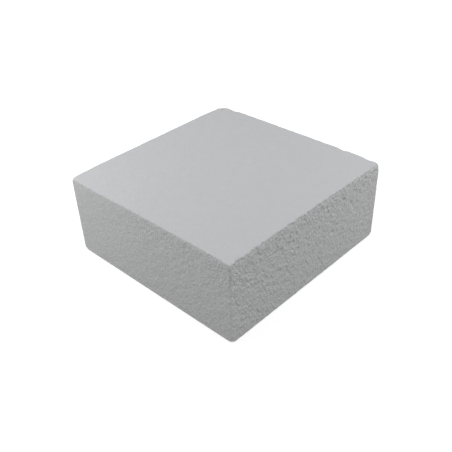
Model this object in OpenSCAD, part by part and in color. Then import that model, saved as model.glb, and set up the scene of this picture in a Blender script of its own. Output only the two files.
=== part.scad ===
// Foam block: one piece of white bead foam, moulded in a sheet and sawn to size.
// The top and the underside keep the smooth skin of the sheet. The four sides are sawn,
// so they show the beads and the round sockets of beads that the blade tore out.
// Millimetres. The origin is at the middle of the underside, +Z is up and -Y is the front.

/* [Block] */
// Width of the block, along X
block_w = 254; // [120:1:320]
// Depth of the block, along Y
block_d = 254; // [120:1:320]
// Height of the block, along Z
block_h = 102; // [50:1:160]
// How far the saw wandered: the foot of the right side lies this far inside its top edge
right_lean = 1.6; // [0:0.2:3]

/* [Worn edges] */
// Radius of the four upright corners
corner_r = 3; // [2:0.5:10]
// Radius of the straight edges round the top and the underside
edge_r = 1.5; // [1:0.25:3]
// Radius to which the eight corner tips are rubbed
tip_r = 12; // [8:1:16]
// How far the tips stay inside the ring that rubs them
tip_clearance = 2; // [1:0.5:4]
// How far that ring lies towards the front corner, which wears the back corner more
wear_shift = 1.25; // [0:0.25:1.5]

/* [Beads] */
// Distance between the middles of neighbouring beads
bead_pitch = 4.5; // [3.5:0.25:6]
// How far a bead strays from its row and column by chance
bead_stray = 0.9; // [0:0.1:1]
// How far the rows and columns of beads sway
bead_sway = 1.2; // [0:0.1:1.4]
// Diameter of a bead
bead_d = 4.6; // [3:0.1:5]
// Depth of the shallowest socket
shallow_socket = 0.7; // [0.5:0.1:1]
// Depth of the deepest socket
deep_socket = 1.6; // [1.1:0.1:2]
// Uncut border of a sawn side, from its edges to the nearest bead's middle
side_border = 5.5; // [5:0.5:12]

/* [Torn beads] */
// Share of the loose beads torn out of the front
torn_front = 0.08; // [0:0.02:1]
// Share of the loose beads torn out of the right side
torn_right = 0.24; // [0:0.02:1]
// Share of the loose beads torn out of the back
torn_back = 0.14; // [0:0.02:1]
// Share of the loose beads torn out of the left side
torn_left = 0.18; // [0:0.02:1]
// Diameter of the large pits, where a bead came out with its neighbours' walls
pit_d = 6.4; // [5:0.2:7]
// Depth of the large pits
pit_depth = 2.2; // [1.5:0.1:3]

/* [Chipped top edge] */
// Distance between chips along the ragged top edge of the right side
chip_pitch = 7.5; // [6.5:0.5:12]
// How far a chip strays along the edge
chip_stray = 1.2; // [0:0.1:1.4]
// Depth of the deepest chips, measured into the side
chip_depth = 2; // [1.2:0.1:2.2]
// Share of chips on the top edges of the other three sides
chip_share = 0.25; // [0:0.05:1]

/* [Dent] */
// Width of the thumb dent in the top, near the back corner
dent_w = 18; // [8:1:30]
// Depth of the dent
dent_depth = 0.9; // [0.3:0.1:2]
// Distance of the dent's middle from the left side
dent_from_left = 62; // [20:1:80]
// Distance of the dent's middle from the back
dent_from_back = 22; // [16:1:80]

/* [Hidden] */
foam = [0.74, 0.75, 0.76];
// Facets round a full circle
round_fn = 64;
bead_fn = 24;
// How far cutters and outlines reach past the surface that they cut
past = 20;
// Rise of the rubbing ring above the top and below the underside
ring_rise = 0.5;
// The large pits of the right side: distance from the front corner, and from the top
PITS = [[66, 23], [75, 24], [94, 25], [95, 44], [73, 51], [152, 12], [183, 17], [199, 29], [166, 51]];
// The sides, in turn from the front, anticlockwise seen from above
FRONT = 0;
RIGHT = 1;
BACK = 2;
LEFT = 3;
// The large notches of the top edges, one pit wide: side, and distance along it from its middle
NOTCHES = [[RIGHT, -93], [RIGHT, -70], [RIGHT, -33], [RIGHT, 64], [BACK, -112], [BACK, -75], [BACK, 103]];

bead_r = bead_d / 2;
pit_r = pit_d / 2;
row_pitch = bead_pitch * sqrt(3) / 2;
end_border = corner_r + side_border;
// Distance from the block's upright axis to the outside of the upright corners
corner_reach = norm([block_w / 2 - corner_r, block_d / 2 - corner_r]) + corner_r;

// A number from 0 to 1 that looks random and is always the same for the same place
function dice(i, j, key) =
    let (v = sin(127.1 * i + 311.7 * j + 74.7 * key) * 43758.5) v - floor(v);

// Sine wave with as many degrees to a column and to a row of beads, dying out towards the edges
function sway(i, j, side, per_column, per_row, phase) =
    let (along = 2 * i * column_pitch(side) / side_length(side), up = 2 * j * row_pitch / block_h)
    bead_sway * max(0, 1 - along * along) * max(0, 1 - up * up) * sin(per_column * i + per_row * j + phase * side);

// Radius of the sphere that leaves a dent of this width and depth
function dent_radius(w, depth) = (w * w / 4 + depth * depth) / (2 * depth);

function side_length(side) = side % 2 == 0 ? block_w : block_d;
function side_distance(side) = (side % 2 == 0 ? block_d : block_w) / 2;

// Length of a side with half of the rounded corner at each end, and the even columns that fill it
function side_run(side) = side_length(side) - (2 - PI / 2) * corner_r;
function column_pitch(side) = side_run(side) / round(side_run(side) / bead_pitch);

// Middle of a bead on a side: distance from the middle of the side, and height
function bead_at(i, j, side) = let (column = i + (abs(j) % 2) / 2) [
    column * column_pitch(side) + bead_stray * (2 * dice(i, j, 10 + side) - 1) + sway(column, j, side, 17, 41, 70),
    block_h / 2 + j * row_pitch + bead_stray * (2 * dice(i, j, 20 + side) - 1) + sway(column, j, side, 37, -23, 110)
];

// How far a side lies inside its top edge at this height
function lean_at(side, z) = side == RIGHT ? right_lean * (1 - z / block_h) : 0;

// One bead in three can be torn out, so that the sockets stay apart
function is_loose(i, j) = (i + (j - abs(j) % 2) / 2 + 2 * j + 3000) % 3 == 0;

function is_clear_of_pits(p, side) =
    side != RIGHT || min([for (q = PITS) norm(p - pit_at(q))]) > (bead_d + pit_d) / 2;

function pit_at(q) = [q[0] - block_d / 2, block_h - q[1]];

// Rectangle with round corners, centred, whose right side leans in by this much at its foot.
// The outline runs through the points where the round corners meet the straight sides.
module rounded_rectangle(w, h, r, lean = 0) {
    a = atan(lean / h);
    left_x = r - w / 2;
    foot_x = w / 2 - lean * (1 - r / h) - r / cos(a);
    top_x = w / 2 - lean * r / h - r / cos(a);
    z = h / 2 - r;
    out = r * [cos(a), -sin(a)];
    polygon([
        [left_x, -z - r], [foot_x, -z - r], [foot_x, -z] + out, [top_x, z] + out,
        [top_x, z + r], [left_x, z + r], [left_x - r, z], [left_x - r, -z]
    ]);
    for (p = [[left_x, -z], [foot_x, -z], [top_x, z], [left_x, z]])
        translate(p) circle(r, $fn = round_fn);
}

// What passes through a frame of this outline, centred on the block and looking along Z
module passing(w, h, r, length, lean = 0) {
    linear_extrude(length + 2 * past, center = true) rounded_rectangle(w, h, r, lean);
}

// Ring that only the corner tips meet, with round edges above and below
module rubbing_ring() {
    ring_r = corner_reach + tip_clearance;
    ring_h = block_h + 2 * ring_rise;
    translate([wear_shift, -wear_shift, 0]) rotate_extrude($fn = 2 * round_fn) {
        translate([0, -ring_h / 2]) square([ring_r - tip_r, ring_h]);
        translate([0, tip_r - ring_h / 2]) square([ring_r, ring_h - 2 * tip_r]);
        for (y = [-1, 1])
            translate([ring_r - tip_r, y * (ring_h / 2 - tip_r)]) circle(tip_r, $fn = round_fn);
    }
}

// The sawn block with its worn edges, before any bead is torn out
module sawn_block() {
    translate([0, 0, block_h / 2]) intersection() {
        passing(block_w, block_d, corner_r, block_h);
        rotate([90, 0, 0]) passing(block_w, block_h, edge_r, block_d, right_lean);
        rotate([90, 0, 90]) passing(block_d, block_h, edge_r, block_w);
        rubbing_ring();
    }
}

// Turns what is drawn on the front round to another side
module on_side(side) {
    rotate([0, 0, 90 * side]) translate([0, -side_distance(side), 0]) children();
}

// Sphere that cuts to this depth into a side, at this distance along it and this height
module socket(p, r, depth, side) {
    translate([p[0], lean_at(side, p[1]) + depth - r, p[1]]) sphere(r, $fn = bead_fn);
}

module torn_beads(side, share) {
    columns = floor((side_length(side) / 2 - end_border) / column_pitch(side));
    rows = floor((block_h / 2 - side_border) / row_pitch);
    for (i = [-columns:columns - 1], j = [-rows:rows]) {
        p = bead_at(i, j, side);
        if (is_loose(i, j) && dice(i, j, side) < share && is_clear_of_pits(p, side))
            socket(p, bead_r, shallow_socket + (deep_socket - shallow_socket) * dice(i, j, 30 + side), side);
    }
}

// Sphere that cuts to this depth into a side, with its upper quarter above the top
module chip(u, r, depth) {
    translate([u, depth - r, block_h - r / 2]) sphere(r, $fn = bead_fn);
}

module chips(side, share) {
    reach = side_length(side) / 2 - end_border;
    count = floor((reach - chip_stray) / chip_pitch);
    for (i = [-count:count])
        if (dice(i, 0, 40 + side) <= share)
            chip(
                chip_pitch * i + chip_stray * (2 * dice(i, 0, 50 + side) - 1), bead_r,
                chip_depth * (0.5 + dice(i, 0, 60 + side) / 2)
            );
    for (q = NOTCHES)
        if (q[0] == side && abs(q[1]) < reach) chip(q[1], pit_r, pit_depth);
}

module pits() {
    for (q = PITS) {
        p = pit_at(q);
        if (p[0] < block_d / 2 - end_border && p[1] > side_border) socket(p, pit_r, pit_depth, RIGHT);
    }
}

module dent() {
    r = dent_radius(dent_w, dent_depth);
    translate([dent_from_left - block_w / 2, block_d / 2 - dent_from_back, block_h - dent_depth + r])
        sphere(r, $fn = 2 * round_fn);
}

module foam_block() {
    color(foam) difference() {
        sawn_block();
        on_side(FRONT) { torn_beads(FRONT, torn_front); chips(FRONT, chip_share); }
        on_side(RIGHT) { torn_beads(RIGHT, torn_right); chips(RIGHT, 1); pits(); }
        on_side(BACK) { torn_beads(BACK, torn_back); chips(BACK, chip_share); }
        on_side(LEFT) { torn_beads(LEFT, torn_left); chips(LEFT, chip_share); }
        dent();
    }
}

foam_block();
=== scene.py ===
"""A block of white bead foam on a white table, seen from above one corner."""
import math

import bpy
import mathutils
import numpy as np
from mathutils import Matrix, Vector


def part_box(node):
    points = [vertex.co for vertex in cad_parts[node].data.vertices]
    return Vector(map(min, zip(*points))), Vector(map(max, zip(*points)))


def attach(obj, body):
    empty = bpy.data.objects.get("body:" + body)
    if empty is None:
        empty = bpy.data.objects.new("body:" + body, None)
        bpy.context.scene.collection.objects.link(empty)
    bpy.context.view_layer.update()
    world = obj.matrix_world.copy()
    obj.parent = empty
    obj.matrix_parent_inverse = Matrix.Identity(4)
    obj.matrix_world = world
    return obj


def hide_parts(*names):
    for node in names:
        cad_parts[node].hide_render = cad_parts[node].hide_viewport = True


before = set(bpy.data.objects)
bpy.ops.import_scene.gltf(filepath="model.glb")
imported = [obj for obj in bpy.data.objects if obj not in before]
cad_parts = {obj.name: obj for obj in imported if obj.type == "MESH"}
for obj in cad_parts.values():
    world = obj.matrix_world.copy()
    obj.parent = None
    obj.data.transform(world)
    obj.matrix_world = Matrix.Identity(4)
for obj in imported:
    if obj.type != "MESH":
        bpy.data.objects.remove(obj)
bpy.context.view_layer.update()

# The table. A plain matt white sheet that runs out of the picture on every side. The camera and
# reflections see it paler, with a glow that grows away from the block until the table meets the
# background without a line. The block itself gets only a little light back from it.
TABLE_HALF = 6.0
TABLE_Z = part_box("foam_block")[0][2]
TABLE_BOUNCE = (0.20, 0.20, 0.20, 1)
TABLE_SEEN = (0.55, 0.55, 0.55, 1)
NEAR_BLOCK, FAR_AWAY = 0.2, 1.2
NEAR_GLOW, FAR_GLOW = 0.64, 0.95


def seen_rays(tree):
    """The greatest of three: 1 for a camera, a glossy or a transmission ray, and otherwise 0."""
    path = tree.nodes.new("ShaderNodeLightPath")
    greatest = path.outputs["Is Camera Ray"]
    for name in ("Is Glossy Ray", "Is Transmission Ray"):
        greater = tree.nodes.new("ShaderNodeMath")
        greater.operation = "MAXIMUM"
        tree.links.new(greatest, greater.inputs[0])
        tree.links.new(path.outputs[name], greater.inputs[1])
        greatest = greater.outputs[0]
    return greatest


def table_material():
    """Matt white plus a glow, whose strength rises evenly with the distance from the origin.

    Seen rays get the paler white and the glow, and all the others the darker white alone.
    """
    mat = bpy.data.materials.new("white_table")
    mat.use_nodes = True
    tree = mat.node_tree
    tree.nodes.clear()
    out = tree.nodes.new("ShaderNodeOutputMaterial")
    matt = tree.nodes.new("ShaderNodeBsdfDiffuse")
    glow = tree.nodes.new("ShaderNodeEmission")
    both = tree.nodes.new("ShaderNodeAddShader")
    white = tree.nodes.new("ShaderNodeMix")
    white.data_type = "RGBA"
    white.inputs["A"].default_value = TABLE_BOUNCE
    white.inputs["B"].default_value = TABLE_SEEN
    origin = tree.nodes.new("ShaderNodeTexCoord")
    away = tree.nodes.new("ShaderNodeVectorMath")
    away.operation = "LENGTH"
    rise = tree.nodes.new("ShaderNodeMapRange")
    rise.inputs["From Min"].default_value = NEAR_BLOCK
    rise.inputs["From Max"].default_value = FAR_AWAY
    rise.inputs["To Min"].default_value = NEAR_GLOW
    rise.inputs["To Max"].default_value = FAR_GLOW
    strength = tree.nodes.new("ShaderNodeMath")
    strength.operation = "MULTIPLY"
    seen = seen_rays(tree)
    tree.links.new(origin.outputs["Object"], away.inputs[0])
    tree.links.new(away.outputs["Value"], rise.inputs["Value"])
    tree.links.new(seen, white.inputs["Factor"])
    tree.links.new(seen, strength.inputs[0])
    tree.links.new(rise.outputs["Result"], strength.inputs[1])
    tree.links.new(white.outputs["Result"], matt.inputs["Color"])
    tree.links.new(strength.outputs[0], glow.inputs["Strength"])
    tree.links.new(matt.outputs[0], both.inputs[0])
    tree.links.new(glow.outputs[0], both.inputs[1])
    tree.links.new(both.outputs[0], out.inputs["Surface"])
    return mat


table_corners = [
    (x * TABLE_HALF, y * TABLE_HALF, TABLE_Z) for x, y in ((-1, -1), (1, -1), (1, 1), (-1, 1))
]
table_mesh = bpy.data.meshes.new("table")
table_mesh.from_pydata(table_corners, [], [(0, 1, 2, 3)])
table_mesh.materials.append(table_material())
table = bpy.data.objects.new("table", table_mesh)
bpy.context.scene.collection.objects.link(table)

# The light. A soft even room, and five broad panels round the block. The two nearest stand off
# its left and right corners, so both sides are darkest where they meet at the front.
ROOM_LIGHT = 0.493
ROOM_SEEN = 1.0
LIT_POINT = (0, 0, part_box("foam_block")[1][2] / 2)
PANELS = {
    "panel_left": {"at": (-0.40, -0.45, 0.35), "size": 0.35, "watts": 1.83},
    "panel_right": {"at": (0.50, 0.45, 0.40), "size": 0.35, "watts": 1.5},
    "panel_front": {"at": (0.7, -0.88, 0.35), "size": 0.6, "watts": 1.38},
    "panel_beside": {"at": (1.2, 0.2, 0.8), "size": 1.0, "watts": 2.5},
    "panel_behind": {"at": (-1.0, 0.3, 0.8), "size": 0.8, "watts": 2.8},
}


def aim(lamp, at, target):
    """Stands a lamp at one point, with its own -Z along the line to another."""
    way = mathutils.Vector(target) - mathutils.Vector(at)
    lamp.location = at
    lamp.rotation_euler = way.to_track_quat("-Z", "Y").to_euler()


for name, panel in PANELS.items():
    light = bpy.data.lights.new(name, "AREA")
    light.shape = "SQUARE"
    light.size = panel["size"]
    light.energy = panel["watts"]
    lamp = bpy.data.objects.new(name, light)
    bpy.context.scene.collection.objects.link(lamp)
    aim(lamp, panel["at"], LIT_POINT)

world = bpy.data.worlds.new("white_room")
world.use_nodes = True
room = world.node_tree.nodes["Background"]
room.inputs["Color"].default_value = (1, 1, 1, 1)
room_strength = world.node_tree.nodes.new("ShaderNodeMapRange")
room_strength.inputs["To Min"].default_value = ROOM_LIGHT
room_strength.inputs["To Max"].default_value = ROOM_SEEN
world.node_tree.links.new(seen_rays(world.node_tree), room_strength.inputs["Value"])
world.node_tree.links.new(room_strength.outputs["Result"], room.inputs["Strength"])
bpy.context.scene.world = world

# The camera. It looks down on the front corner, from a little over arm's length, and leans
# slightly to its right. Its place and lens follow from where the photograph's corners fall.
CAMERA_AT = (0.45545, -0.45601, 0.47117)
# Measured from +Y towards +X
BEARING = math.radians(-45.2)
DOWNWARD = math.radians(34.81)
ROLL = math.radians(-2.839)
SENSOR = 36.0
PHOTO_WIDTH = 452
FOCAL_PIXELS = 640.3
NEAREST_SEEN = 0.01

ahead = np.array([
    math.sin(BEARING) * math.cos(DOWNWARD), math.cos(BEARING) * math.cos(DOWNWARD), -math.sin(DOWNWARD)
])
sideways = np.cross(ahead, (0, 0, 1))
sideways /= np.linalg.norm(sideways)
upward = np.cross(sideways, ahead)
camera_right = math.cos(ROLL) * sideways + math.sin(ROLL) * upward
camera_up = math.cos(ROLL) * upward - math.sin(ROLL) * sideways
camera_data = bpy.data.cameras.new("camera")
camera_data.sensor_width = SENSOR
camera_data.lens = SENSOR * FOCAL_PIXELS / PHOTO_WIDTH
camera_data.clip_start = NEAREST_SEEN
camera = bpy.data.objects.new("camera", camera_data)
camera_axes = mathutils.Matrix(np.array([camera_right, camera_up, -ahead]).T.tolist())
camera.rotation_euler = camera_axes.to_euler()
camera.location = CAMERA_AT
bpy.context.scene.collection.objects.link(camera)
bpy.context.scene.camera = camera
bpy.context.scene.view_settings.view_transform = "Standard"

# The foam block. One piece of expanded bead foam: small beads steamed in a mould until they
# press each other into rounded cells. The top and underside are the smooth skin of the mould,
# and the four sides are sawn, so each bead there shows, and some have been torn out.
MM = 0.001
WIDTH = 254.0 * MM
DEPTH = 254.0 * MM
HEIGHT = 102.0 * MM
# The foot of the right side lies this far inside its top edge
RIGHT_LEAN = 1.6 * MM
# The sides come in turn in every list: front, right, back and left
RIGHT, BACK = 1, 2
# Radii of the upright corners, of the straight edges and of the tips, and the ring that rubs the
# tips: how far outside them it lies, above the top and below the underside, and off the middle
CORNER_R = 3.0 * MM
EDGE_R = 1.5 * MM
TIP_R = 12.0 * MM
TIP_CLEARANCE = 2.0 * MM
RING_RISE = 0.5 * MM
WEAR_SHIFT = 1.25 * MM
# How far apart the beads lie, and how far by chance and in slow waves they leave their places.
# The waves are in degrees to a column, to a row and to a side.
BEAD_PITCH = 4.5 * MM
BEAD_STRAY = 0.9 * MM
BEAD_SWAY = 1.2 * MM
WAVES_ALONG = (17, 41, 70)
WAVES_UP = (37, -23, 110)
# How rough each side is on the corner where it begins, this far past it and this far short of its
# end, and what that is multiplied by at the foot and at the top
ROUGH = ((0.2, 0.08, 0.5), (0.6, 1.0, 0.65), (0.3, 0.35, 0.3), (0.3, 0.3, 0.2))
PAST_CORNER = 6.0 * MM
ROUGH_AT_FOOT, ROUGH_AT_TOP = 0.8, 1.2
# Where the roughness is 1, a bead's face lies this far below the sawn plane and by chance up to so
# much more, and tilts at most this steeply. Elsewhere all three are multiplied by the roughness.
LEAST_SUNK = 0.05 * MM
MORE_SUNK = 1.0 * MM
TILT = 0.14
# Chance is raised to this power, so that few beads lie deep and few bites are large
FEW_LARGE = 1.5
# The corners of the cells lie this much deeper still, and the middle of a seam has this share of
# its ends' depth. A face has its shoulders at this share of the way to the corners, a little lower
# than its crown, and no part of it comes nearer to the sawn plane than SAW_FLAT.
SEAM_DEPTH = 0.40 * MM
SEAM_MIDDLE = 0.8
SHOULDER = 0.6
SHOULDER_DROP = 0.08 * MM
SAW_FLAT = 0.02 * MM

side_length = np.array([WIDTH, DEPTH, WIDTH, DEPTH])
side_reach = np.array([DEPTH, WIDTH, DEPTH, WIDTH]) / 2
side_run = side_length - (2 - math.pi / 2) * CORNER_R
side_start = np.concatenate([[0], np.cumsum(side_run)[:-1]])
girth = side_run.sum()

# The kinds of chance. Each has a key, to which the number of the side is added. The first seven
# are the CAD's own, so the scene's beads, sockets and chips lie where the CAD's do.
TORN_OUT, ASTRAY_ALONG, ASTRAY_UP, SOCKET_DEPTH, CHIPPED_OUT, CHIP_ASTRAY, CHIP_SIZE = range(0, 70, 10)
SUNK, TONE, TILT_ALONG, TILT_UP, BITTEN = 60, 70, 80, 90, 234
# The angle in degrees to a step of the column, of the row and of the key, and the large multiple
BY_COLUMN, BY_ROW, BY_KEY = 127.1, 311.7, 74.7
LARGE = 43758.5


def dice(column, row, key):
    """A number from 0 to 1 that looks random: the fraction left of a large multiple of a sine."""
    multiple = np.sin(np.radians(BY_COLUMN * column + BY_ROW * row + BY_KEY * key)) * LARGE
    return multiple - np.floor(multiple)


def either_way(column, row, key):
    """The same kind of number, doubled and less 1, so that it runs from -1 to 1."""
    return 2 * dice(column, row, key) - 1


def turned(x, y, side):
    """What is drawn at the front, turned by a quarter for each side on from there."""
    cosine, sine = np.cos(side * math.pi / 2), np.sin(side * math.pi / 2)
    return np.stack([x * cosine - y * sine, x * sine + y * cosine, np.zeros_like(x + y)], -1)


def outline(s, out):
    """Points round the block at a distance out from its rounded square outline, and their normals.

    A flat stretch keeps its distance from the middle. Past its end the point turns about the
    middle of the corner, by an angle that is the distance past the end over the corner's radius.
    """
    s = np.mod(s, girth)
    side = np.searchsorted(side_start, s, side="right") - 1
    u = s - side_start[side] - side_run[side] / 2
    flat = side_length[side] / 2 - CORNER_R
    angle = np.maximum(np.abs(u) - flat, 0) / CORNER_R
    out_x, out_y = np.sign(u) * np.sin(angle), -np.cos(angle)
    x = np.sign(u) * np.minimum(np.abs(u), flat) + (CORNER_R + out) * out_x
    y = CORNER_R - side_reach[side] + (CORNER_R + out) * out_y
    return turned(x, y, side), turned(out_x, out_y, side)


# The honeycomb of the sawn sides: rows of beads, every second one half a column further on,
# each bead a little out of its place. One more row at each end only gives the cells their ends.
per_side = np.round(side_run / BEAD_PITCH).astype(int)
pitch = side_run / per_side
columns = per_side.sum()
row_pitch = BEAD_PITCH * math.sqrt(3) / 2
half_rows = int((HEIGHT / 2 - EDGE_R) / row_pitch)
rows = 2 * half_rows + 1
bead_row = np.arange(-half_rows - 1, half_rows + 2)[:, None]
bead_column = np.concatenate([np.arange(count) - count // 2 for count in per_side])
bead_side = np.repeat(np.arange(4), per_side)
shift = np.abs(bead_row) % 2
half = np.arange(2 * columns)
half_s = np.concatenate([[0], np.cumsum(np.repeat(pitch / 2, 2 * per_side))[:-1]])
next_half_s = np.append(half_s[1:], girth)


def stray(number, row, side):
    """How far a bead lies along and up from its regular place: a chance part and a slow wave.

    A wave is a sine of the bead's column and row. It dies out towards the side's edges, as 1 less
    the squared share of the way to them.
    """
    column = number + np.abs(row) % 2 / 2
    along, up = 2 * column * pitch[side] / side_length[side], 2 * row * row_pitch / HEIGHT
    sway = BEAD_SWAY * np.maximum(1 - along ** 2, 0) * np.maximum(1 - up ** 2, 0)
    return [
        BEAD_STRAY * either_way(number, row, key + side)
        + sway * np.sin(np.radians(to_column * column + to_row * row + to_side * side))
        for key, (to_column, to_row, to_side) in ((ASTRAY_ALONG, WAVES_ALONG), (ASTRAY_UP, WAVES_UP))
    ]


def meeting(beads):
    """The mean of the three beads that meet at each corner of the honeycomb.

    At a half column, one of two neighbouring rows has a bead there, and the other has one half
    a column to each side. The rows' lines of corners lie between them, one corner a half column.
    """
    row = np.arange(len(beads))[:, None]
    left = beads[row, (half - shift) // 2 % columns]
    right = beads[row, (half - shift + 1) // 2 % columns]
    total = (left + right) / 2 * (1 + (half - shift) % 2)
    return (total[:-1] + total[1:]) / 3


def rough_at(s, z):
    """How rough a side is at a distance round the block and a height.

    It runs evenly between the three places of each side, and what multiplies it runs evenly from
    the foot to the top.
    """
    places = np.stack([side_start, side_start + PAST_CORNER, side_start + side_run - PAST_CORNER], -1)
    along = np.interp(s, places.ravel(), np.ravel(ROUGH), period=girth)
    return along * (ROUGH_AT_FOOT + (ROUGH_AT_TOP - ROUGH_AT_FOOT) * z / HEIGHT)


def to_next(values):
    """The middle between each value of a closed line and the next one."""
    return (values + np.roll(values, -1, -1)) / 2


stray_s, stray_z = stray(bead_column, bead_row, bead_side)
bead_s = half_s[(2 * np.arange(columns) + shift) % (2 * columns)] + stray_s
bead_z = HEIGHT / 2 + bead_row * row_pitch + stray_z
rough = rough_at(bead_s, bead_z)
sunk = rough * (LEAST_SUNK + MORE_SUNK * dice(bead_column, bead_row, SUNK + bead_side) ** FEW_LARGE)
tone = dice(bead_column, bead_row, TONE + bead_side)
corner_away, corner_z = meeting(stray_s), meeting(bead_z)
corner_z[0], corner_z[-1] = EDGE_R, HEIGHT - EDGE_R
corner_s = half_s + corner_away
next_s = next_half_s + np.roll(corner_away, -1, 1)
corner_sunk = meeting(sunk) + meeting(rough) * SEAM_DEPTH
corner_tone_and_bite_shade = meeting(tone)

# The top edge is bitten back from the side by chance, a bead at a time, where its side is rough,
# and each bite gets painted shade: its tone is painted darker, the deeper the bite.
BITE = 1.8 * MM
BITE_PAINTED_SHADE = 1.2
bite = BITE * rough_at(corner_s[-1], HEIGHT) * dice(half // 2, 0, BITTEN) ** FEW_LARGE
corner_sunk[-1] += bite
corner_tone_and_bite_shade[-1] -= BITE_PAINTED_SHADE * bite / BITE

# Each cell's six corners, in turn from the lower left, by their places in the lines of corners,
# and how many half columns each lies on from the cell's middle
own = slice(1, -1)
middle = (2 * np.arange(columns) + shift[own]) % (2 * columns)
before, after = (middle - 1) % (2 * columns), (middle + 1) % (2 * columns)
line = np.arange(rows)[:, None]
foot, head = (line, after), (line + 1, after)
CELL_CORNERS = [(line, before), (line, middle), foot, head, (line + 1, middle), (line + 1, before)]
CELL_STEPS = (-1, 0, 1, 1, 0, -1)
batches = []


def add(points, normals, values):
    """Keeps points, their normals and values, and returns their numbers.

    The values are how far the point is sunk, its bead's tone with any bite's painted shade, how far
    it is from a seam, how much of it is sawn, and how rough it is. The numbers go on from those of the
    points kept before.
    """
    shape = points.shape[:-1]
    start = sum(len(batch[0]) for batch in batches)
    all_normals = np.broadcast_to(normals, points.shape).reshape(-1, 3)
    all_values = np.stack([np.broadcast_to(value, shape).ravel() for value in values], -1)
    batches.append((points.reshape(-1, 3), all_normals, all_values))
    return start + np.arange(math.prod(shape)).reshape(shape)


def add_side(s, z, values):
    """Points of the sawn sides, at distances round the outline and heights."""
    points, normals = outline(s, 0)
    points[..., 2] = z
    return add(points, normals, (*values, 1, rough_at(s, z)))


def foot_to_head(values):
    """The middle between the foot and the head of each upright seam."""
    return (values[foot] + values[head]) / 2


# Each cell has its corners, the middles of its four slanting and two upright seams, six shoulders
# and a crown.
corner = add_side(corner_s, corner_z, (corner_sunk, corner_tone_and_bite_shade, 0))
slant = add_side(
    (corner_s + next_s) / 2, to_next(corner_z), (SEAM_MIDDLE * to_next(corner_sunk), to_next(corner_tone_and_bite_shade), 0))
upright = add_side(
    foot_to_head(corner_s), foot_to_head(corner_z),
    (SEAM_MIDDLE * foot_to_head(corner_sunk), foot_to_head(corner_tone_and_bite_shade), 0))
own_s, own_z, own_sunk, own_tone = bead_s[own], bead_z[own], sunk[own], tone[own]
crown = add_side(own_s, own_z, (own_sunk, own_tone, 1))
tilt_s, tilt_z = (
    TILT * (rough * either_way(bead_column, bead_row, key + bead_side))[own] for key in (TILT_ALONG, TILT_UP))
shoulders = []
for place, step in zip(CELL_CORNERS, CELL_STEPS):
    away_s = SHOULDER * (corner_away[place] - stray_s[own] + step * pitch[bead_side] / 2)
    away_z = SHOULDER * (corner_z[place] - own_z)
    face = own_sunk + SHOULDER_DROP + tilt_s * away_s + tilt_z * away_z
    shoulders.append(add_side(own_s + away_s, own_z + away_z, (face, own_tone, 1 - SHOULDER)))

seams = [
    slant[line, before], slant[line, middle], upright,
    slant[line + 1, middle], slant[line + 1, before], np.roll(upright, 1, 1)
]
# A sixth of a cell has three triangles between its seam and its shoulders, and one to the crown.
faces = []
for k, seam in enumerate(seams):
    here, there = shoulders[k], shoulders[(k + 1) % 6]
    start, end = corner[CELL_CORNERS[k]], corner[CELL_CORNERS[(k + 1) % 6]]
    faces += [(here, start, seam), (here, seam, there), (there, seam, end), (crown, here, there)]

# The worn edges round the top and underside, and the two skins inside them. An edge keeps the
# honeycomb's points, with the relief fading out, and each skin is a grid of squares drawn out
# from the middle to the rounded outline. The rings between them follow most of a bite's depth.
EDGE_STEPS = 4
TOP_RING_INSET = 2.5 * MM
UNDER_RING_INSET = 2.75 * MM
BITE_SHARE = 0.8
SKIN_INSET = 4.0 * MM
TOP_SQUARES = 112
UNDER_SQUARES = 56
# The tone of a bead of the middle kind, and how far from a seam the inner end of an edge counts
PLAIN_TONE = 0.5
EDGE_END = 0.5
SKIN_VALUES = (0, PLAIN_TONE, 1, 0, 0)
# Just under the whole, so that the end of a side isn't taken for the start of the next one
NOT_QUITE = 1 - 1e-9


def woven(first, second):
    """One value from each of two lines by turns."""
    return np.stack([first, second], -1).ravel()


def strip(lower, upper):
    """Two triangles to each step between two closed rings of as many points."""
    after_lower, after_upper = np.roll(lower, -1), np.roll(upper, -1)
    return [(lower, after_lower, after_upper), (lower, after_upper, upper)]


def halving(outer, inner):
    """Three triangles to each step from a closed ring to one with half as many points inside it."""
    even, odd, next_even = outer[0::2], outer[1::2], np.roll(outer[0::2], -1)
    next_inner = np.roll(inner, -1)
    return [(even, odd, inner), (odd, next_inner, inner), (odd, next_even, next_inner)]


regular_s = woven(half_s, (half_s + next_half_s) / 2)


def worn_edge(row, level, way, bites):
    """Rings over the quarter circle from a side to a skin: way is 1 at the top, -1 underneath.

    The angle grows evenly from ring to ring, its cosine gives the way out and its sine the way up.
    The relief fades out as evenly, and the bites stay as deep as they are at the side.
    """
    s = woven(corner_s[row], (corner_s[row] + next_s[row]) / 2)
    relief = woven(corner_sunk[row], to_next(corner_sunk[row])) - bites
    tone_and_painted_light = woven(corner_tone_and_bite_shade[row], to_next(corner_tone_and_bite_shade[row]))
    edge_rough = rough_at(s, level)
    rings = [woven(corner[row], slant[row])]
    for step in range(1, EDGE_STEPS + 1):
        fade = step / EDGE_STEPS
        outward, upward = math.cos(fade * math.pi / 2), math.sin(fade * math.pi / 2)
        points, normals = outline(s + (regular_s - s) * fade, -EDGE_R * (1 - outward) - bites)
        points[..., 2] = level + way * EDGE_R * upward
        normals = normals * outward
        normals[..., 2] = way * upward
        rings.append(add(points, normals, (
            relief * (1 - fade), tone_and_painted_light + (PLAIN_TONE - tone_and_painted_light) * fade, EDGE_END * fade,
            1 - fade, edge_rough * (1 - fade))))
    return rings


def add_skin(points, share, level, way):
    """Points of an edge's outline, drawn in to a share of their way from the middle."""
    points *= share
    points[..., 2] = level
    return add(points, np.array([0.0, 0.0, way]), SKIN_VALUES)


def skin_ring(s, inset, level, way):
    """A ring on a skin. Its share is 1 less what the inset adds to the edge's, over half the width."""
    return add_skin(outline(s, -EDGE_R)[0], 1 - (inset[:, None] - EDGE_R) / (WIDTH / 2), level, way)


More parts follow.
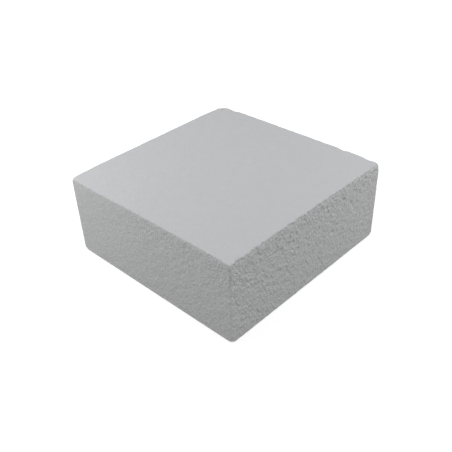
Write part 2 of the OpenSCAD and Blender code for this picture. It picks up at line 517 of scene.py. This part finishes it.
def skin(count, level, way):
    """A grid of squares whose square rings become smaller and smaller copies of the outline.

    The greater of a point's two distances from the middle says which ring it is on, and the other
    one, as a share of the greater, how far along its side.
    """
    across = np.linspace(-1, 1, count + 1)
    grid_y, grid_x = np.meshgrid(across, across, indexing="ij")
    reach = np.maximum(np.abs(grid_x), np.abs(grid_y))
    side = np.select([grid_y == -reach, grid_x == reach, grid_y == reach], [0, 1, 2], 3)
    along = np.select([side == 0, side == 1, side == 2], [grid_x, grid_y, -grid_x], -grid_y)
    along = along / np.maximum(reach, 1 / count)
    points, _ = outline(side_start[side] + side_run[side] / 2 * (1 + along * NOT_QUITE), -EDGE_R)
    return add_skin(points, reach[..., None] * (1 - (SKIN_INSET - EDGE_R) / (WIDTH / 2)), level, way)


def rim(grid):
    """The numbers round the outside of a grid, in the order of the outline."""
    return np.concatenate([grid[0, :-1], grid[:-1, -1], grid[-1, :0:-1], grid[:0:-1, 0]])


def square_faces(grid):
    """Two triangles to each square of a grid."""
    first, second, third, fourth = grid[:-1, :-1], grid[:-1, 1:], grid[1:, 1:], grid[1:, :-1]
    return [(first, second, third), (first, third, fourth)]


bites = woven(bite, to_next(bite))
top_rings = worn_edge(rows, HEIGHT - EDGE_R, 1, bites)
top_rings.append(skin_ring(regular_s, TOP_RING_INSET + BITE_SHARE * bites, HEIGHT, 1))
top_skin = skin(TOP_SQUARES, HEIGHT, 1)
for lower, upper in zip(top_rings, top_rings[1:]):
    faces += strip(lower, upper)
faces += halving(top_rings[-1], rim(top_skin)) + square_faces(top_skin)

# The underside is put together as the top is, and then its faces are turned over.
under_rings = worn_edge(0, EDGE_R, -1, 0)
under_skin = skin(UNDER_SQUARES, 0, -1)
middle_ring = skin_ring(half_s, np.full(2 * columns, UNDER_RING_INSET), 0, -1)
under_faces = halving(under_rings[-1], middle_ring) + halving(middle_ring, rim(under_skin))
under_faces += square_faces(under_skin)
for lower, upper in zip(under_rings, under_rings[1:]):
    under_faces += strip(lower, upper)
faces += [(first, third, second) for first, second, third in under_faces]

triangles = np.concatenate([np.stack([numbers.ravel() for numbers in face], -1) for face in faces])
points = np.concatenate([batch[0] for batch in batches])
normals = np.concatenate([batch[1] for batch in batches])
relief, tone_and_bite_shade_of, seam_of, sawn_of, rough_of = np.concatenate([batch[2] for batch in batches]).T
points -= normals * np.where(sawn_of > 0, np.maximum(relief, SAW_FLAT), relief)[:, None]

# What is torn and chipped out: the sockets of single beads, larger pits where the neighbours'
# walls went too, and chips and larger notches in the top edges. Each leaves part of a sphere: a
# point inside that sphere moves straight in to where its line leaves it.
BEAD_R = 2.3 * MM
PIT_R = 3.2 * MM
PIT_DEPTH = 2.2 * MM
# No bead's middle nearer than this to an edge of its side is torn out
SIDE_BORDER = 5.5 * MM
# The share of its loose beads that each side has lost, and how deep their sockets are
TORN = (0.08, 0.24, 0.14, 0.18)
SHALLOW_SOCKET = 0.7 * MM
DEEP_SOCKET = 1.6 * MM
# How far apart the chips lie, how far they stray, the share of them that each side's top edge
# has, and the depth of the deepest
CHIP_PITCH = 7.5 * MM
CHIP_STRAY = 1.2 * MM
CHIPPED = (0.25, 1.0, 0.25, 0.25)
CHIP_DEPTH = 2.0 * MM
# Large pits of the right side, in millimetres from the front corner and from the top, and large
# notches of the top edges: side, and millimetres along it from its middle
PITS = [(66, 23), (75, 24), (94, 25), (95, 44), (73, 51), (152, 12), (183, 17), (199, 29), (166, 51)]
NOTCHES = [(RIGHT, -93), (RIGHT, -70), (RIGHT, -33), (RIGHT, 64), (BACK, -112), (BACK, -75), (BACK, 103)]
# What a socket or a chip keeps of its depth on a side that isn't rough at all
KEPT_WHERE_SMOOTH = 0.3


def kept(side, u, z):
    """What a socket or chip keeps of its depth: the roughness there and a little more, 1 at most."""
    return np.minimum(KEPT_WHERE_SMOOTH + rough_at(side_start[side] + side_run[side] / 2 + u, z), 1)


cuts = []
end_border = CORNER_R + SIDE_BORDER
from_corner, from_top = np.transpose(PITS) * MM
pit_u, pit_z = from_corner - DEPTH / 2, HEIGHT - from_top
for side in range(4):
    half_flat = side_length[side] / 2 - end_border
    last_column = int(half_flat / pitch[side])
    last_row = int((HEIGHT / 2 - SIDE_BORDER) / row_pitch)
    grid = np.meshgrid(np.arange(-last_column, last_column), np.arange(-last_row, last_row + 1))
    number, row = (values.ravel() for values in grid)
    away_s, away_z = stray(number, row, side)
    u = (number + np.abs(row) % 2 / 2) * pitch[side] + away_s
    z = HEIGHT / 2 + row * row_pitch + away_z
    # One bead in three can be torn out, so that the sockets stay apart
    loose = (number + (row - np.abs(row) % 2) // 2 + 2 * row) % 3 == 0
    torn = loose & (dice(number, row, TORN_OUT + side) < TORN[side])
    if side == RIGHT:
        torn &= np.hypot(u[:, None] - pit_u, z[:, None] - pit_z).min(1) > BEAD_R + PIT_R
    socket = SHALLOW_SOCKET + (DEEP_SOCKET - SHALLOW_SOCKET) * dice(number, row, SOCKET_DEPTH + side)
    last_chip = int((half_flat - CHIP_STRAY) / CHIP_PITCH)
    number = np.arange(-last_chip, last_chip + 1)
    number = number[dice(number, 0, CHIPPED_OUT + side) <= CHIPPED[side]]
    chip_u = CHIP_PITCH * number + CHIP_STRAY * either_way(number, 0, CHIP_ASTRAY + side)
    chip = CHIP_DEPTH * (1 + dice(number, 0, CHIP_SIZE + side)) / 2
    notch_u = np.array([place * MM for notched, place in NOTCHES if notched == side])
    groups = [
        (u[torn], z[torn], BEAD_R, (socket * kept(side, u, z))[torn]),
        (chip_u, HEIGHT - BEAD_R / 2, BEAD_R, chip * kept(side, chip_u, HEIGHT)),
        (notch_u, HEIGHT - PIT_R / 2, PIT_R, PIT_DEPTH),
    ]
    if side == RIGHT:
        groups.append((pit_u, pit_z, PIT_R, PIT_DEPTH))
    inward = turned(0.0, 1.0, side)
    for along, up, radius, cut_depth in groups:
        middles = turned(along, cut_depth - radius - side_reach[side], side)
        middles[..., 2] = up
        cuts += [(middle, radius, inward) for middle in middles]
torn_of = np.zeros(len(points))
for middle, radius, inward in cuts:
    offset = points - middle
    inside = np.flatnonzero((offset ** 2).sum(-1) < radius ** 2)
    offset = offset[inside]
    along = offset @ inward
    points[inside] += (np.sqrt(along ** 2 - (offset ** 2).sum(-1) + radius ** 2) - along)[:, None] * inward
    torn_of[inside] = 1

# Soft dips in the top: the dent, a sag of the front edge, one round each large notch, and a droop
# at each worn corner. A dip is its depth times the square of 1 less the squared share of its
# radius, so it ends without an edge. Below the top it fades out to half height.
DENT_FROM_LEFT = 62.0 * MM
DENT_FROM_BACK = 22.0 * MM
# Wider than the CAD's dent, because it ends softly
DENT_R = 11.25 * MM
DENT_DEPTH = 0.9 * MM
FRONT_SAG_X = -75.0 * MM
FRONT_SAG_R = 55.0 * MM
FRONT_SAG_DEPTH = 1.1 * MM
SAG_R = 9.0 * MM
SAG_DEPTH = 1.0 * MM
DROOP_R = 45.0 * MM
# The worn corners: the side of the middle on which each lies, along X and along Y, how far the
# top droops there, how round it is in plan, how much of the rubbing reaches its tip, and how much
# painted light makes its upright corner paler
CORNER_WEAR_AND_PAINTED_LIGHT = (
    (1, -1, 0.5 * MM, 0, 1, 0.17),
    (1, 1, 1.0 * MM, 0.4, 0.8, 0.08),
    (-1, 1, 1.0 * MM, 1, 1, 0.08),
    (-1, -1, 1.0 * MM, 0.1, 0.6, 0.05),
)
dips = [
    (DENT_FROM_LEFT - WIDTH / 2, DEPTH / 2 - DENT_FROM_BACK, DENT_R, DENT_DEPTH),
    (FRONT_SAG_X, -DEPTH / 2, FRONT_SAG_R, FRONT_SAG_DEPTH),
]
for side, place in NOTCHES:
    x, y, _ = turned(place * MM, -side_reach[side], side)
    dips.append((x, y, SAG_R, SAG_DEPTH))
for x, y, droop, _, _, _ in CORNER_WEAR_AND_PAINTED_LIGHT:
    dips.append((x * WIDTH / 2, y * DEPTH / 2, DROOP_R, droop))
height_share = np.clip(2 * points[:, 2] / HEIGHT - 1, 0, 1)
for x, y, radius, depth in dips:
    near = np.clip(1 - ((points[:, 0] - x) ** 2 + (points[:, 1] - y) ** 2) / radius ** 2, 0, 1)
    points[:, 2] -= depth * near ** 2 * height_share

# The top corners are worn round in plan: each square ring round a point near the corner
# becomes a circle, fully at the top and less and less down to the end of the tip.
LEAST_RING = 0.02 * MM
in_x, in_y = np.abs(points[:, 0]) - WIDTH / 2 + TIP_R, np.abs(points[:, 1]) - DEPTH / 2 + TIP_R
cornered = (in_x > 0) & (in_y > 0)
drawn_in = np.maximum(in_x, in_y) / np.maximum(np.hypot(in_x, in_y), LEAST_RING)
roundness, rubbed, painted_corner_light = np.zeros(len(points)), np.ones(len(points)), np.zeros(len(points))
for x, y, _, round_in_plan, rubbing, corner_light_gain in CORNER_WEAR_AND_PAINTED_LIGHT:
    here = (points[:, 0] * x > 0) & (points[:, 1] * y > 0)
    roundness[here], rubbed[here], painted_corner_light[here] = round_in_plan, rubbing, corner_light_gain
near_top = np.clip(1 - (HEIGHT - points[:, 2]) / TIP_R, 0, 1) ** 2
worn = np.where(cornered, roundness * (1 - drawn_in) * near_top, 0)
points[:, 0] -= np.sign(points[:, 0]) * in_x * worn
points[:, 1] -= np.sign(points[:, 1]) * in_y * worn

# The tips are rubbed round: what lies outside a ring with round edges moves straight in to it.
corner_reach = math.hypot(WIDTH / 2 - CORNER_R, DEPTH / 2 - CORNER_R) + CORNER_R
ring_r, ring_half = corner_reach + TIP_CLEARANCE, HEIGHT / 2 + RING_RISE
from_x, from_y = points[:, 0] - WEAR_SHIFT, points[:, 1] + WEAR_SHIFT
radial = np.hypot(from_x, from_y)
rise = points[:, 2] - HEIGHT / 2
over_r, over_z = radial - (ring_r - TIP_R), np.abs(rise) - (ring_half - TIP_R)
past = np.where((over_r > 0) & (over_z > 0), np.hypot(over_r, over_z), 0)
pull = rubbed * (1 - TIP_R / np.maximum(past, TIP_R))
points[:, 0] -= from_x / np.maximum(radial, MM) * over_r * pull
points[:, 1] -= from_y / np.maximum(radial, MM) * over_r * pull
points[:, 2] -= np.sign(rise) * over_z * pull

# The saw wandered: the right side leans in towards its foot.
points[:, 0] -= RIGHT_LEAN * (1 - points[:, 2] / HEIGHT) * (points[:, 0] / WIDTH + 0.5)

# Each bead has its own tone, and seams and the torn and chipped places get painted shade: they are
# painted a little darker, for the shade in these hollows. The upright corners get painted light: they
# are painted a little paler, from PALE_BELOW under the top and fully at twice as far. The corner's share
# is 1 in the middle of the corner and 0 on a flat side.
TONE_SPREAD = 0.06
SEAM_PAINTED_SHADE = 0.07
TORN_PAINTED_SHADE = 0.05
PALE_BELOW = 20.0 * MM
corner_share = 2 * np.abs(normals[:, 0] * normals[:, 1])
corner_light_of = corner_share * np.clip((HEIGHT - points[:, 2]) / PALE_BELOW - 1, 0, 1)
tone_and_painted_light_of = (
    (1 + TONE_SPREAD * (tone_and_bite_shade_of - PLAIN_TONE)) * (1 - SEAM_PAINTED_SHADE * (1 - seam_of))
    * (1 - TORN_PAINTED_SHADE * torn_of) * (1 + painted_corner_light * corner_light_of))

mesh = bpy.data.meshes.new("beaded_block")
mesh.from_pydata(points.tolist(), [], triangles.tolist())
mesh.shade_smooth()
for name, values in (("tone_and_painted_light", tone_and_painted_light_of), ("sawn", sawn_of), ("rough", rough_of)):
    mesh.attributes.new(name, "FLOAT", "POINT").data.foreach_set("value", values.astype(np.float32))
block = bpy.data.objects.new("beaded_block", mesh)
bpy.context.scene.collection.objects.link(block)

# The foam's finish: matt and nearly without gloss. Its grain is a bump of small cells, drawn out
# upwards by the saw's stroke, and of still finer noise. The skins show a third of it, sawn faces
# a little more, and rough ones most. A faint mottling goes over all of it.
SKIN_COLOUR = (0.549, 0.554, 0.570, 1)
SAWN_COLOUR = (0.545, 0.554, 0.549, 1)
ROUGHNESS = 0.9
GLOSS = 0.2
GRAIN = 2.4 * MM
GRAIN_HEIGHT = 0.8 * MM
STROKE = 0.8
FINE_GRAIN = 1.0 * MM
FINE_HEIGHT = 0.2 * MM
FINE_DETAIL = 1.0
GRAIN_ON_SKIN = 0.33
GRAIN_SAWN = 0.07
GRAIN_ROUGH = 0.65
MOTTLE = 12.0 * MM
MOTTLE_SPREAD = 0.05
MOTTLE_DETAIL = 3.0


def foam_material():
    """The colour is the skin's and the saw's mixed by how much is sawn, times the tone with its painted shade
    and painted light, and mottling.

    The height is the fine noise less the distance from the middle of a grain's cell, times how
    much of the grain shows.
    """
    mat = bpy.data.materials.new("bead_foam")
    mat.use_nodes = True
    tree = mat.node_tree
    shader = tree.nodes["Principled BSDF"]
    shader.inputs["Roughness"].default_value = ROUGHNESS
    shader.inputs["Specular IOR Level"].default_value = GLOSS

    def attribute(name):
        node = tree.nodes.new("ShaderNodeAttribute")
        node.attribute_name = name
        return node.outputs["Fac"]

    def maths(operation, first, second):
        node = tree.nodes.new("ShaderNodeMath")
        node.operation = operation
        for socket, value in zip(node.inputs, (first, second)):
            if isinstance(value, bpy.types.NodeSocket):
                tree.links.new(value, socket)
            else:
                socket.default_value = value
        return node.outputs[0]

    def noise(size, detail):
        node = tree.nodes.new("ShaderNodeTexNoise")
        node.inputs["Scale"].default_value = 1 / size
        node.inputs["Detail"].default_value = detail
        tree.links.new(place, node.inputs["Vector"])
        return node.outputs["Fac"]

    stroke = tree.nodes.new("ShaderNodeVectorMath")
    stroke.operation = "MULTIPLY"
    stroke.inputs[1].default_value = (1, 1, STROKE)
    tree.links.new(tree.nodes.new("ShaderNodeTexCoord").outputs["Object"], stroke.inputs[0])
    place = stroke.outputs[0]
    sawn, rough = attribute("sawn"), attribute("rough")
    tint = tree.nodes.new("ShaderNodeMix")
    tint.data_type = "RGBA"
    tint.inputs["A"].default_value = SKIN_COLOUR
    tint.inputs["B"].default_value = SAWN_COLOUR
    tree.links.new(sawn, tint.inputs["Factor"])
    mottle = maths(
        "ADD", maths("MULTIPLY", noise(MOTTLE, MOTTLE_DETAIL), MOTTLE_SPREAD), 1 - MOTTLE_SPREAD / 2)
    shaded = tree.nodes.new("ShaderNodeVectorMath")
    shaded.operation = "SCALE"
    tree.links.new(tint.outputs["Result"], shaded.inputs[0])
    tree.links.new(maths("MULTIPLY", attribute("tone_and_painted_light"), mottle), shaded.inputs["Scale"])
    tree.links.new(shaded.outputs[0], shader.inputs["Base Color"])

    grain = tree.nodes.new("ShaderNodeTexVoronoi")
    grain.inputs["Scale"].default_value = 1 / GRAIN
    tree.links.new(place, grain.inputs["Vector"])
    height = maths(
        "SUBTRACT", maths("MULTIPLY", noise(FINE_GRAIN, FINE_DETAIL), FINE_HEIGHT),
        maths("MULTIPLY", grain.outputs["Distance"], GRAIN_HEIGHT))
    amount = maths("ADD", maths("MULTIPLY", sawn, GRAIN_SAWN), maths("MULTIPLY", rough, GRAIN_ROUGH))
    height = maths("MULTIPLY", height, maths("ADD", amount, GRAIN_ON_SKIN))
    bump = tree.nodes.new("ShaderNodeBump")
    bump.inputs["Distance"].default_value = 1.0
    tree.links.new(height, bump.inputs["Height"])
    tree.links.new(bump.outputs["Normal"], shader.inputs["Normal"])
    return mat


mesh.materials.append(foam_material())
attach(block, "root")
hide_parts("foam_block")
